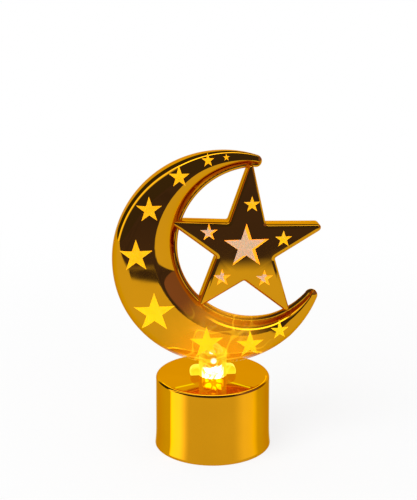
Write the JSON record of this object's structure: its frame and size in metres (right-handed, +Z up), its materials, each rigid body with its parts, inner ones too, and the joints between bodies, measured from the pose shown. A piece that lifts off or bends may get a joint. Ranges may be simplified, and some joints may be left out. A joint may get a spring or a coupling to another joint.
{
  "type": "crescent and star lamp ornament",
  "caption": "Lit tabletop ornament: hollow gold plated crescent and star with star windows, on a round base that holds coin cells, a slide switch and a warm lamp.",
  "frame": {"origin": "centre of the round foot, on the table the ornament stands on", "axes": "+Z up along the base's axis, the ornament faces -Y, +X to the right seen from the front"},
  "size_m": [0.0695, 0.04, 0.1029],
  "materials": {
    "plated_gold": "clear moulding with a half-silvered gold mirror plating",
    "base_gold": "gold mirror plating",
    "clear_guide": "clear moulded plastic",
    "warm_lens": "warm tinted clear resin",
    "tinned": "tinned",
    "board": "green solder mask over laminate",
    "screw": "zinc plated",
    "resistor": "lacquered ceramic",
    "cover_plastic": "moulded, satin",
    "cell": "bright nickel plated can",
    "contact": "nickel plated spring strip",
    "switch_can": "bright folded sheet",
    "wafer": "pressed phenolic",
    "knob_black": "moulded black",
    "wire_red": "insulated wire",
    "wire_yellow": "insulated wire",
    "wire_black": "insulated wire"
  },
  "bodies": {
    "base": {"front_shell": "plated_gold", "back_shell": "plated_gold", "base_cup": "base_gold", "lamp_dome": "clear_guide", "led_lens": "warm_lens", "led_leads": "tinned", "circuit_board": "board", "board_screws": "screw", "resistor": "resistor", "bottom_cover": "cover_plastic", "cover_screws": "screw", "coin_cell_lower": "cell", "coin_cell_upper": "cell", "leaf_contact": "contact", "side_contact": "contact", "switch_can": "switch_can", "switch_wafer": "wafer", "switch_terminals": "tinned", "red_wire": "wire_red", "yellow_wire": "wire_yellow", "black_wire": "wire_black"},
    "door": {"battery_door": "cover_plastic"},
    "knob": {"switch_knob": "knob_black"}
  },
  "joints": [
    {"name": "door_twist", "type": "hinge", "parent": "base", "child": "door", "pos_m": [0, 0.0017, 0.0009], "axis": [0, 0, 1], "range_deg": [0, 90]},
    {"name": "knob_slide", "type": "slide", "parent": "base", "child": "knob", "axis": [1, 0, 0], "range_m": [0, 0.003]}
  ]
}
